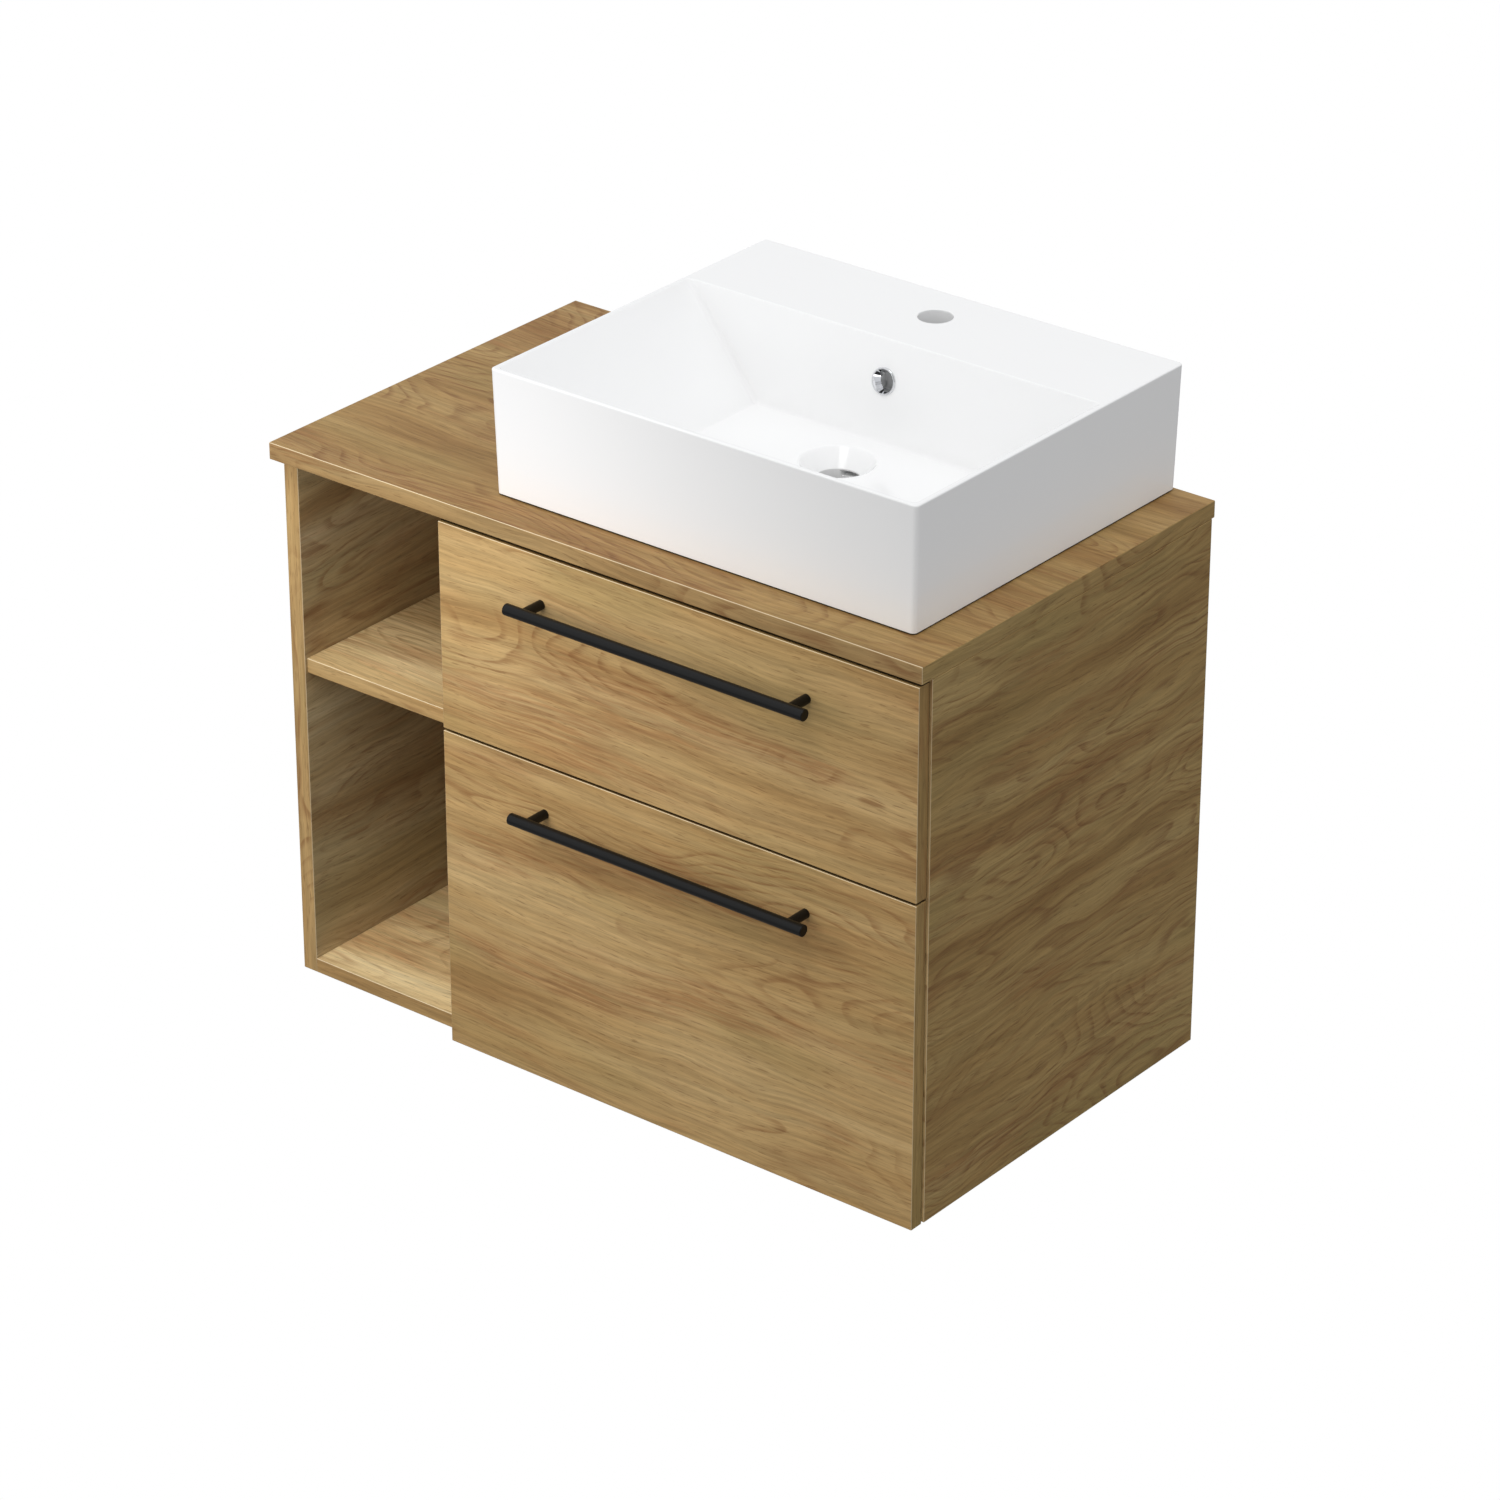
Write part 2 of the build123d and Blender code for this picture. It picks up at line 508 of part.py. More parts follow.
# Soft dots on the cabinet's front edges that the drawer fronts close against.
BUMPER_T = PANEL_FRONT - FRONT_BACK - BUMPER_PLAY
dots = []
for spec in DRAWERS.values():
    for x in (DIVIDER_LEFT + BOARD_T / 2, RIGHT_OUTER - PANEL_T / 2):
        for z in (spec["front"][0] + BUMPER_INSET, spec["front"][1] - BUMPER_INSET):
            dots.append(rod((x, PANEL_FRONT, z), (x, PANEL_FRONT - BUMPER_T, z), BUMPER_R))
parts["drawer_bumpers"] = group(dots)


# ---- handles ----
def handle(drawer, front_top):
    """Bar, two posts and two screws through the drawer front."""
    z = front_top - HANDLE_DROP
    bar_y = FACE_Y - POST_REACH
    middle = (FRONT_LEFT + FRONT_RIGHT) / 2
    bar = rod((middle - BAR_L / 2, bar_y, z), (middle + BAR_L / 2, bar_y, z), BAR_D / 2)
    bar = fillet(bar.edges().filter_by(GeomType.CIRCLE), BAR_END_R)
    posts, screws, holes = [], [], []
    for x in (middle - POST_SPACING / 2, middle + POST_SPACING / 2):
        screw_at = (x, FRONT_BACK, z)
        screw_end = (x, FACE_Y - HANDLE_SCREW_IN, z)
        length = screw_at[1] - screw_end[1]
        cutter = rod(screw_at, screw_end, HANDLE_SCREW_D / 2 + BORE_PLAY)
        post = rod((x, FACE_Y, z), (x, bar_y, z), POST_D / 2) - bar - cutter
        posts.append(post)
        screws.append(screw(screw_at, (0, -1, 0), length, HANDLE_SCREW_D / 2, HANDLE_HEAD))
        holes.append(cutter)
    parts[f"{drawer}_handle_bar"] = bar
    parts[f"{drawer}_handle_posts"] = group(posts)
    parts[f"{drawer}_handle_screws"] = group(screws)
    return holes


# ---- drawers ----
def trap_recess(grow, low, high):
    """U-shaped space for the trap, open to the back; grow moves its walls outwards."""
    half = TRAP_W / 2 + grow
    y = (DRAIN_Y - TRAP_REACH - grow, BOX_BACK)
    shape = block((BASIN_X - half, BASIN_X + half), (y[0], y[1] + 10.0), (low, high))
    corners = shape.edges().filter_by(Axis.Z).group_by(Axis.Y)[0]
    return fillet(corners, TRAP_R + grow)


for drawer, spec in DRAWERS.items():
    front_low, front_top = spec["front"]
    low, high = spec["box_low"], spec["box_top"]
    bottom_z = (low + BOTTOM_UP, low + BOTTOM_UP + DRAWER_BOTTOM_T)
    box_y = (FRONT_BACK, BOX_BACK)
    dowels = []
    for side, _ in SIDES:
        for z in (low + BOX_DOWEL_LOW, high - BOX_DOWEL_HIGH):
            at_front = (side * (BOX - DRAWER_SIDE_T / 2), FRONT_BACK, z)
            at_side = (side * BOX_IN, BOX_BACK - DRAWER_SIDE_T / 2, z)
            sizes = (SMALL_DOWEL_L, SMALL_DOWEL_IN_FACE)
            dowels.append(dowel_place(at_front, 1, 1, *sizes))
            dowels.append(dowel_place(at_side, 0, -side, *sizes))
    dowel_bores = bores(dowels, SMALL_DOWEL_D / 2)
    parts[f"{drawer}_drawer_dowels"] = group([rod(a, b, SMALL_DOWEL_D / 2) for a, b in dowels])

    handle_bores = handle(drawer, front_top)
    front = board((FRONT_LEFT, FRONT_RIGHT), (FACE_Y, FRONT_BACK), (front_low, front_top))
    parts[f"{drawer}_drawer_front"] = front - (dowel_bores + handle_bores)

    tongue = BOX_IN + GROOVE_D
    for side, name in SIDES:
        wall = block((side * BOX, side * BOX_IN), box_y, (low, high))
        slot_z = (bottom_z[0] - FIT, bottom_z[1] + FIT)
        slot = block((side * (BOX_IN - 1), side * tongue), box_y, slot_z)
        parts[f"{drawer}_drawer_{name}_side"] = wall - (dowel_bores + spec["runner_bores"] + [slot])

    bottom = block((-tongue + FIT, tongue - FIT), box_y, bottom_z)
    back = block((-BOX_IN, BOX_IN), (BOX_BACK - DRAWER_SIDE_T, BOX_BACK), (bottom_z[1], high))
    if drawer == "upper":
        inside = trap_recess(0, bottom_z[0] - 1, high + 1)
        outside = trap_recess(LINER_T, bottom_z[1], high)
        behind = block((-BAY, BAY), (BOX_BACK, BOX_BACK + 20.0), (low - 1, high + 1))
        parts["upper_drawer_trap_liner"] = outside - inside - behind
        bottom -= inside
        back -= trap_recess(LINER_T, bottom_z[0] - 1, high + 1)
    parts[f"{drawer}_drawer_bottom"] = bottom
    parts[f"{drawer}_drawer_back"] = back - dowel_bores


# ---- basin ----
def rectangle_at(z, half_x, y_low, y_high):
    """Horizontal rectangle on the basin's centre line, for a loft."""
    middle = Pos(BASIN_X, (y_low + y_high) / 2, z)
    return middle * Rectangle(2 * half_x, y_high - y_low)


def bowl(grow, base_z, top_z):
    """The bowl's four slopes between two heights, moved outwards by grow of ceramic."""
    side_slope = BOWL_SIDE_RUN / BOWL_DEPTH
    end_slope = BOWL_END_RUN / BOWL_DEPTH
    side_grow = grow * math.hypot(1, side_slope)
    end_grow = grow * math.hypot(1, end_slope)

    def section(z):
        below = RIM_Z - z
        half_x = BASIN_W / 2 - RIM_T - side_slope * below + side_grow
        y_low = -BASIN_D + RIM_T + end_slope * below - end_grow
        y_high = -DECK_D - end_slope * below + end_grow
        return rectangle_at(z, half_x, y_low, y_high)

    return loft([section(base_z), section(top_z)], ruled=True)


def basin():
    """Ceramic basin, hollow under its deck and slopes, with a drain boss and overflow duct."""
    lean = BASIN_DRAFT
    foot = rectangle_at(FOOT_Z, BASIN_W / 2 - lean, -BASIN_D + lean, -lean)
    rim = rectangle_at(RIM_Z, BASIN_W / 2, -BASIN_D, 0)
    outer = loft([foot, rim], ruled=True)
    upright = [e for e in outer.edges() if e.bounding_box().size.Z > 10]
    outer = fillet(upright, BASIN_CORNER_R)

    inside = bowl(0, FLOOR_Z, RIM_Z)
    below_rim = [e for e in inside.edges() if e.center().Z < RIM_Z - 1]
    inside = fillet(below_rim, BOWL_R)

    hollow_low = rectangle_at(FOOT_Z - 1, BASIN_W / 2 - lean - WALL_T, -BASIN_D + FRONT_WALL_T, -lean - WALL_T)
    hollow_top = rectangle_at(RIM_Z - DECK_T, BASIN_W / 2 - WALL_T, -BASIN_D + FRONT_WALL_T, -WALL_T)
    hollow = loft([hollow_low, hollow_top], ruled=True)
    seat_low = FLOOR_Z - DRAIN_CONE_H
    hole_low = seat_low - DRAIN_HOLE_L
    drain_boss = rod((BASIN_X, DRAIN_Y, hole_low), (BASIN_X, DRAIN_Y, FLOOR_Z), DRAIN_BOSS_D / 2)
    tap_low = RIM_Z - TAP_SEAT_T
    tap_boss = rod((BASIN_X, TAP_Y, tap_low), (BASIN_X, TAP_Y, RIM_Z), TAP_BOSS_D / 2)

    # Overflow duct: down behind the bowl, then forward under its floor into the drain hole.
    casing_low = hole_low
    floor_duct = (casing_low + DUCT_FLOOR_T, casing_low + DUCT_FLOOR_T + DUCT_LOW_H)
    duct_x = (BASIN_X - DUCT_W / 2, BASIN_X + DUCT_W / 2)
    wall_x = (duct_x[0] - DUCT_WALL, duct_x[1] + DUCT_WALL)
    rise_back = OVERFLOW_Y + SHELL_T + DUCT_DEEP
    rise_y = (rise_back - DUCT_DEEP, rise_back)
    rise_top = RIM_Z - OVERFLOW_DROP + OVERFLOW_HOLE_D / 2 + OVERFLOW_CLEAR
    wall_y = (-DECK_D - BOWL_END_RUN, rise_back + DUCT_WALL)
    casing = block(wall_x, wall_y, (casing_low, rise_top + DUCT_WALL))
    casing += block(wall_x, (DRAIN_Y, wall_y[1]), (casing_low, FLOOR_Z - 1))
    passage = block(duct_x, rise_y, (floor_duct[0], rise_top))
    passage += block(duct_x, (DRAIN_Y, rise_back), floor_duct)

    hollow -= bowl(SHELL_T, FLOOR_Z - SHELL_T, RIM_Z + 1)
    hollow -= [drain_boss, tap_boss, casing]
    body = outer - inside - hollow

    rim_edges = [e for e in body.edges() if e.center().Z > RIM_Z - 0.01]
    body = fillet(rim_edges, RIM_R)

    seat = Plane(origin=(BASIN_X, DRAIN_Y, seat_low))
    body -= Solid.make_cone(DRAIN_HOLE_D / 2, DRAIN_MOUTH_D / 2, DRAIN_CONE_H, seat)
    body -= rod((BASIN_X, DRAIN_Y, FOOT_Z - 1), (BASIN_X, DRAIN_Y, seat_low + 1), DRAIN_HOLE_D / 2)
    body -= rod((BASIN_X, TAP_Y, tap_low - 1), (BASIN_X, TAP_Y, RIM_Z + 1), TAP_HOLE_D / 2)
    body = fillet(round_edges(body, DRAIN_MOUTH_D / 2, FLOOR_Z), DRAIN_MOUTH_R)
    body = fillet(round_edges(body, TAP_HOLE_D / 2, RIM_Z), TAP_EDGE_R)
    return body - passage - overflow_rod(OVERFLOW_HOLE_D / 2, *OVERFLOW_REACH)


def round_edges(shape, radius, z):
    """The shape's circular edges of this radius at this height."""
    return [
        e for e in shape.edges().filter_by(GeomType.CIRCLE)
        if abs(e.radius - radius) < 0.01 and abs(e.center().Z - z) < 0.01
    ]


def overflow_plane(depth):
    """Plane square to the overflow, this deep in the bowl's back wall, facing into the wall."""
    tilt = math.atan2(BOWL_END_RUN, BOWL_DEPTH)
    inward = Vector(0, math.cos(tilt), -math.sin(tilt))
    centre = Vector(BASIN_X, OVERFLOW_Y, RIM_Z - OVERFLOW_DROP)
    return Plane(origin=centre + inward * depth, z_dir=inward)


def overflow_rod(radius, front, back):
    """Round bar on the overflow's axis, from depth front to depth back."""
    return Solid.make_cylinder(radius, back - front, overflow_plane(front))


ring = overflow_rod(RING_D / 2, -RING_PROUD, 0)
ring = fillet(ring.edges().filter_by(GeomType.CIRCLE).sort_by(Axis.Y)[0], RING_R)
ring += overflow_rod(OVERFLOW_HOLE_D / 2 - BORE_PLAY, 0, RING_TUBE_L)
funnel_l = RING_PROUD + RING_TUBE_L
funnel = Solid.make_cone(RING_MOUTH_D / 2, RING_THROAT_D / 2, funnel_l, overflow_plane(-RING_PROUD))
parts["overflow_ring"] = ring - funnel
parts["basin"] = basin()

seal_half = BASIN_W / 2 - BASIN_DRAFT - SEAL_INSET
seal_y = (-BASIN_D + BASIN_DRAFT + SEAL_INSET, -BASIN_DRAFT - SEAL_INSET)
seal = block((BASIN_X - seal_half, BASIN_X + seal_half), seal_y, (TOP, FOOT_Z))
hole_half = seal_half - SEAL_W
hole_y = (seal_y[0] + SEAL_W, seal_y[1] - SEAL_W)
seal -= block((BASIN_X - hole_half, BASIN_X + hole_half), hole_y, (TOP - 1, FOOT_Z + 1))
parts["basin_seal"] = seal


# ---- one STEP file for each piece ----
os.makedirs("parts", exist_ok=True)
for node, shape in parts.items():
    export_step(shape, f"parts/{node}.step")
print(len(parts), "nodes")
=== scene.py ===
import json
import math

import bpy
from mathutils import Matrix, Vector


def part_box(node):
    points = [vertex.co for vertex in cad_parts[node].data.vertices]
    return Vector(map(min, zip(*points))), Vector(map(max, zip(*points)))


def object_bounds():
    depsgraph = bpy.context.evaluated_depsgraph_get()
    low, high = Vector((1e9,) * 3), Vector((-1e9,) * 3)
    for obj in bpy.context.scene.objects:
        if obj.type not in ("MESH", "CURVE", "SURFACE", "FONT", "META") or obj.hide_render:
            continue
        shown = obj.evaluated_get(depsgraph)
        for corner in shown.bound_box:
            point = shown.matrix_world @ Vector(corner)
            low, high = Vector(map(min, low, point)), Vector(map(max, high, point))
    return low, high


# Vessel sink on a wall-hung vanity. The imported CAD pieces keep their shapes; this script gives
# each one its material, and adds the light, the floor and the camera. Metres, +Z up, front at -Y.
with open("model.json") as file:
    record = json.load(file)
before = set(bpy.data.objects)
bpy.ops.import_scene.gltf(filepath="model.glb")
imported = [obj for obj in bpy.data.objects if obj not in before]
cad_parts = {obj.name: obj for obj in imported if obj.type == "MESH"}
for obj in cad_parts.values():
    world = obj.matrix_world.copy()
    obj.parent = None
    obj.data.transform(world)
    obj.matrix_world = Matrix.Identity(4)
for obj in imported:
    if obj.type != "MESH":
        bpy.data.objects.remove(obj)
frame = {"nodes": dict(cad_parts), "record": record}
CAD_BOX = [list(corner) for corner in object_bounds()]
NODES = frame["nodes"]
MM = 0.001
X, Y, Z = 0, 1, 2


# ---- node helpers ----
class Nodes:
    """Builds one node tree with short calls."""

    def __init__(self, tree):
        self.tree = tree

    def add(self, kind, **settings):
        node = self.tree.nodes.new(kind)
        for name, value in settings.items():
            setattr(node, name, value)
        return node

    def link(self, source, target):
        self.tree.links.new(source, target)

    def put(self, target, value):
        """Links value if it is a socket, and sets it as a number otherwise."""
        if isinstance(value, bpy.types.NodeSocket):
            self.link(value, target)
        else:
            target.default_value = value

    def math(self, operation, a, b=0.0):
        node = self.add("ShaderNodeMath", operation=operation)
        self.put(node.inputs[0], a)
        self.put(node.inputs[1], b)
        return node.outputs[0]

    def smooth(self, value, low, high, to_low=0.0, to_high=1.0):
        """Smooth ramp of value from low..high to to_low..to_high."""
        node = self.add("ShaderNodeMapRange", interpolation_type="SMOOTHSTEP")
        for socket, given in zip(node.inputs, (value, low, high, to_low, to_high)):
            self.put(socket, given)
        return node.outputs[0]

    def combine(self, x, y, z):
        node = self.add("ShaderNodeCombineXYZ")
        for socket, given in zip(node.inputs, (x, y, z)):
            self.put(socket, given)
        return node.outputs[0]

    def stretch(self, vector, scale):
        """Vector times a constant (x, y, z)."""
        node = self.add("ShaderNodeVectorMath", operation="MULTIPLY")
        self.link(vector, node.inputs[0])
        node.inputs[1].default_value = scale
        return node.outputs[0]

    def noise(self, vector, scale=1.0, detail=3.0, rough=0.5):
        node = self.add("ShaderNodeTexNoise", noise_dimensions="3D")
        self.link(vector, node.inputs["Vector"])
        node.inputs["Scale"].default_value = scale
        node.inputs["Detail"].default_value = detail
        node.inputs["Roughness"].default_value = rough
        return node.outputs["Fac"]

    def ramp(self, value, stops):
        """Colour ramp; stops are (position, (r, g, b))."""
        node = self.add("ShaderNodeValToRGB")
        ramp = node.color_ramp
        while len(ramp.elements) < len(stops):
            ramp.elements.new(0.5)
        for element, (position, colour) in zip(ramp.elements, stops):
            element.position = position
            element.color = (*colour, 1.0)
        self.put(node.inputs[0], value)
        return node.outputs[0]

    def mix(self, factor, a, b, blend="MIX"):
        node = self.add("ShaderNodeMix", data_type="RGBA", blend_type=blend)
        self.put(node.inputs[0], factor)
        for socket, value in ((node.inputs[6], a), (node.inputs[7], b)):
            if isinstance(value, tuple):
                socket.default_value = (*value, 1.0)
            else:
                self.link(value, socket)
        return node.outputs[2]

    def dim(self, colour, shade):
        """Colour times one brightness for all three channels."""
        return self.mix(1.0, colour, self.combine(shade, shade, shade), "MULTIPLY")

    def wander(self, value, amount):
        """Value from 0 to 1, centred on 0 and times amount."""
        return self.math("MULTIPLY", self.math("SUBTRACT", value, 0.5), amount)

    def pick(self, factor, a, b):
        """Vector a where factor is 0 and b where it is 1."""
        node = self.add("ShaderNodeMix", data_type="VECTOR")
        self.put(node.inputs[0], factor)
        self.link(a, node.inputs[4])
        self.link(b, node.inputs[5])
        return node.outputs[1]

    def bump(self, height, distance, strength=1.0):
        node = self.add("ShaderNodeBump")
        node.inputs["Strength"].default_value = strength
        node.inputs["Distance"].default_value = distance
        self.link(height, node.inputs["Height"])
        return node.outputs["Normal"]


def srgb(*values):
    """Linear colour of a display colour given as 0 to 255."""
    linear = []
    for value in values:
        v = value / 255
        linear.append(v / 12.92 if v <= 0.04045 else ((v + 0.055) / 1.055) ** 2.4)
    return tuple(linear)


def new_material(name):
    """A material with an empty Principled shader, as (material, builder, shader)."""
    material = bpy.data.materials.new(name)
    material.use_nodes = True
    tree = material.node_tree
    shader = tree.nodes["Principled BSDF"]
    return material, Nodes(tree), shader


def assign(material, *names):
    """Puts the material on every slot of these CAD nodes."""
    for name in names:
        obj = NODES[name]
        if not obj.material_slots:
            obj.data.materials.append(material)
        for slot in obj.material_slots:
            slot.material = material


# ---- oak laminate ----
DRIFT = 50 * MM             # how far the grain drifts across itself
CURL = 13 * MM              # the curls on top of that, for a board with figure 1
RINGS = 24.0                # growth rings per unit of the figure's slow field
PAINTED_SHADE_REACH = 7 * MM            # how near another board has to be for the painted shade to darken the wood
FACING = 0.7                # a face looks along an axis if its normal has this much of it
# Colour of the painted highlight on the rounded arrises that face the front and up.
PAINTED_ARRIS_HIGHLIGHT = srgb(236, 218, 184)
# Painted shade and light: faces that look along X and Z are darker and faces along Y lighter,
# partly the laminate's tone and partly painted shading of how the light falls on each side.
FACE_TONE_AND_PAINTED_SHADE = {X: (0.71, 0.72, 0.63), Y: (1.09, 1.09, 1.09), Z: (0.80, 0.77, 0.68)}


def oak_figure():
    """Group: (along the grain, across it, seed) in metres to colour, height and roughness."""
    group = bpy.data.node_groups.new("oak_figure", "ShaderNodeTree")
    group.interface.new_socket("Vector", in_out="INPUT", socket_type="NodeSocketVector")
    group.interface.new_socket("Figure", in_out="INPUT", socket_type="NodeSocketFloat")
    for name, kind in (("Color", "Color"), ("Height", "Float"), ("Roughness", "Float")):
        group.interface.new_socket(name, in_out="OUTPUT", socket_type=f"NodeSocket{kind}")
    n = Nodes(group)
    inputs = n.add("NodeGroupInput")
    given, amount = inputs.outputs[0], inputs.outputs[1]
    out = n.add("NodeGroupOutput")

    # The grain wanders: a slow drift, and curls round it.
    drift = n.noise(n.stretch(given, (2.2, 5.0, 1.0)), detail=2.0)
    curls = n.noise(n.stretch(given, (9.0, 20.0, 1.0)), detail=2.5)
    part = n.add("ShaderNodeSeparateXYZ")
    n.link(given, part.inputs[0])
    across = n.math("ADD", part.outputs[1], n.wander(drift, DRIFT))
    across = n.math("ADD", across, n.wander(curls, n.math("MULTIPLY", amount, CURL)))
    warped = n.combine(part.outputs[0], across, part.outputs[2])

    # Streaks, fibres and pores.
    streaks = n.noise(n.stretch(warped, (8.0, 230.0, 1.0)), detail=5.0, rough=0.7)
    broken = n.smooth(n.noise(n.stretch(warped, (20.0, 330.0, 1.0)), detail=3.0), 0.36, 0.62)
    fibres = n.noise(n.stretch(warped, (45.0, 1300.0, 1.0)), detail=2.0)
    pores = n.smooth(n.noise(n.stretch(warped, (50.0, 640.0, 3.0)), detail=2.0), 0.60, 0.70)

    # Cathedral figure: broken contour lines of a slow field drawn out along the grain.
    field = n.noise(n.stretch(warped, (2.6, 9.0, 1.0)), detail=2.0, rough=0.4)
    rings = n.math("FRACT", n.math("MULTIPLY", field, RINGS))
    line = n.math("MULTIPLY", n.smooth(rings, 0.50, 0.90), n.smooth(rings, 0.90, 1.0, 1.0, 0.0))
    patch = n.noise(n.stretch(warped, (3.6, 13.0, 2.0)), detail=2.0)
    where = n.smooth(n.math("ADD", patch, n.math("MULTIPLY", amount, 0.10)), 0.53, 0.68)
    figure = n.math("MULTIPLY", n.math("MULTIPLY", line, where), n.math("ADD", broken, 0.45))

    # Browner bands with the streaks in them, and greener clouds.
    bands = n.noise(n.stretch(warped, (1.6, 22.0, 1.0)), detail=4.0, rough=0.55)
    heart = n.smooth(n.noise(n.stretch(warped, (2.6, 17.0, 5.0)), detail=3.0), 0.51, 0.64)
    heart = n.math("MULTIPLY", heart, n.math("ADD", n.math("MULTIPLY", broken, 0.7), 0.3))
    cloud = n.smooth(n.noise(n.stretch(given, (4.0, 11.0, 3.0)), detail=2.0), 0.50, 0.70)

    tone = n.ramp(bands, [
        (0.28, srgb(158, 121, 74)), (0.44, srgb(181, 146, 95)),
        (0.56, srgb(190, 157, 106)), (0.74, srgb(203, 173, 123)),
    ])
    tone = n.mix(n.math("MULTIPLY", cloud, 0.38), tone, srgb(165, 143, 92))
    tone = n.mix(n.math("MULTIPLY", heart, 0.52), tone, srgb(152, 101, 60))
    streak_light = n.smooth(streaks, 0.30, 0.70, 0.79, 1.14)
    tone = n.dim(tone, streak_light)
    tone = n.mix(n.math("MULTIPLY", figure, 0.42), tone, srgb(132, 88, 50))
    tone = n.mix(n.math("MULTIPLY", pores, 0.40), tone, srgb(112, 76, 44))
    fibre_light = n.smooth(fibres, 0.30, 0.70, 0.94, 1.045)
    tone = n.dim(tone, fibre_light)

    height = n.math("ADD", n.math("MULTIPLY", streaks, 0.5), n.math("MULTIPLY", fibres, 0.35))
    height = n.math("SUBTRACT", height, n.math("MULTIPLY", pores, 0.7))
    n.link(tone, out.inputs["Color"])
    n.link(height, out.inputs["Height"])
    n.link(n.smooth(streaks, 0.2, 0.8, 0.58, 0.46), out.inputs["Roughness"])
    return group


OAK = oak_figure()


def oak(node, grain, seed, amount=0.6, painted_light_tints=None, end_seed=None):
    """Laminate for one board. Its broad faces have the grain along axis `grain`, and its edges
    along themselves.

    amount is how much figure the board shows, and the tints paint light and shade into the
    colour of the faces that look one way, given as (axis, +1 or -1). end_seed gives the faces
    that look along X another board's figure."""
    low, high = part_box(node)
    size = [b - a for a, b in zip(low, high)]
    thin = size.index(min(size))
    material, n, shader = new_material(f"oak_{node}")
    place = n.add("ShaderNodeTexCoord")
    position = n.add("ShaderNodeSeparateXYZ")
    n.link(place.outputs["Object"], position.inputs[0])
    normal = n.add("ShaderNodeSeparateXYZ")
    n.link(place.outputs["Normal"], normal.inputs[0])

    vectors = []
    for facing in range(3):
        others = [axis for axis in range(3) if axis != facing]
        if facing == thin:
            along = grain
        else:
            along = max(others, key=lambda axis: size[axis])
        across = others[0] if others[1] == along else others[1]
        number = end_seed if end_seed and facing == X else seed
        shifted = n.math("ADD", position.outputs[along], 3.17 * number + 0.9 * facing)
        vectors.append(n.combine(shifted, position.outputs[across], 7.3 * number))
    facing_x = n.math("GREATER_THAN", n.math("ABSOLUTE", normal.outputs[X]), FACING)
    facing_y = n.math("GREATER_THAN", n.math("ABSOLUTE", normal.outputs[Y]), FACING)
    vector = n.pick(facing_x, n.pick(facing_y, vectors[Z], vectors[Y]), vectors[X])

    figure = n.add("ShaderNodeGroup", node_tree=OAK)
    n.link(vector, figure.inputs[0])
    figure.inputs[1].default_value = amount
    # The colour is tinted by which way the face looks: partly tone, partly painted shade and
    # light.
    tone_and_painted_shade = n.mix(facing_x, n.mix(facing_y, FACE_TONE_AND_PAINTED_SHADE[Z], FACE_TONE_AND_PAINTED_SHADE[Y]), FACE_TONE_AND_PAINTED_SHADE[X])
    # Painted light and shade: a board's own tints brighten or darken its faces that look one way.
    for (axis, way), own_painted_light in (painted_light_tints or {}).items():
        outward = n.math("MULTIPLY", normal.outputs[axis], way)
        tone_and_painted_shade = n.mix(n.math("GREATER_THAN", outward, FACING), tone_and_painted_shade, own_painted_light)
    colour = n.mix(1.0, figure.outputs["Color"], tone_and_painted_shade, "MULTIPLY")

    # Painted highlight: the rounded arrises facing the front and up are paler. Painted shade: the
    # crevices between boards are darkened.
    flatness = n.math("MAXIMUM", *[n.math("ABSOLUTE", normal.outputs[axis]) for axis in (X, Y)])
    flatness = n.math("MAXIMUM", flatness, n.math("ABSOLUTE", normal.outputs[Z]))
    painted_highlight = n.math("MULTIPLY", n.smooth(flatness, 0.86, 0.97, 1.0, 0.0),
                   n.smooth(normal.outputs[Z], -0.25, 0.25, 0.0, 0.8))
    painted_highlight = n.math("MULTIPLY", painted_highlight, n.smooth(normal.outputs[Y], -0.15, -0.45))
    colour = n.mix(painted_highlight, colour, PAINTED_ARRIS_HIGHLIGHT)
    # Painted shade: ambient occlusion darkens the colour near other boards, except on the right
    # side panel.
    crevice_painted_shade = n.add("ShaderNodeAmbientOcclusion", samples=8)
    crevice_painted_shade.inputs["Distance"].default_value = PAINTED_SHADE_REACH
    darkest_painted_shade = 0.05 if node != "right_side_panel" else 1.0
    shade = n.smooth(crevice_painted_shade.outputs["AO"], 0.12, 0.62, darkest_painted_shade, 1.0)
    n.link(n.dim(colour, shade), shader.inputs["Base Color"])
    n.link(figure.outputs["Roughness"], shader.inputs["Roughness"])
    n.link(n.bump(figure.outputs["Height"], 0.08 * MM, 0.6), shader.inputs["Normal"])
    shader.inputs["Specular IOR Level"].default_value = 0.2
    assign(material, node)


# Painted shade: the worktop's front face is darker and cooler.
oak("worktop", X, 1, 0.8, {(Y, -1): (0.90, 0.93, 1.0)}, end_seed=4)
oak("right_side_panel", Y, 4, 1.5)
# Painted light: the left panel's face into the niche is brighter and bluer.
oak("left_side_panel", Y, 5, 1.0, {(X, 1): (0.98, 1.12, 1.40)})
oak("divider_panel", Y, 6, 1.0)
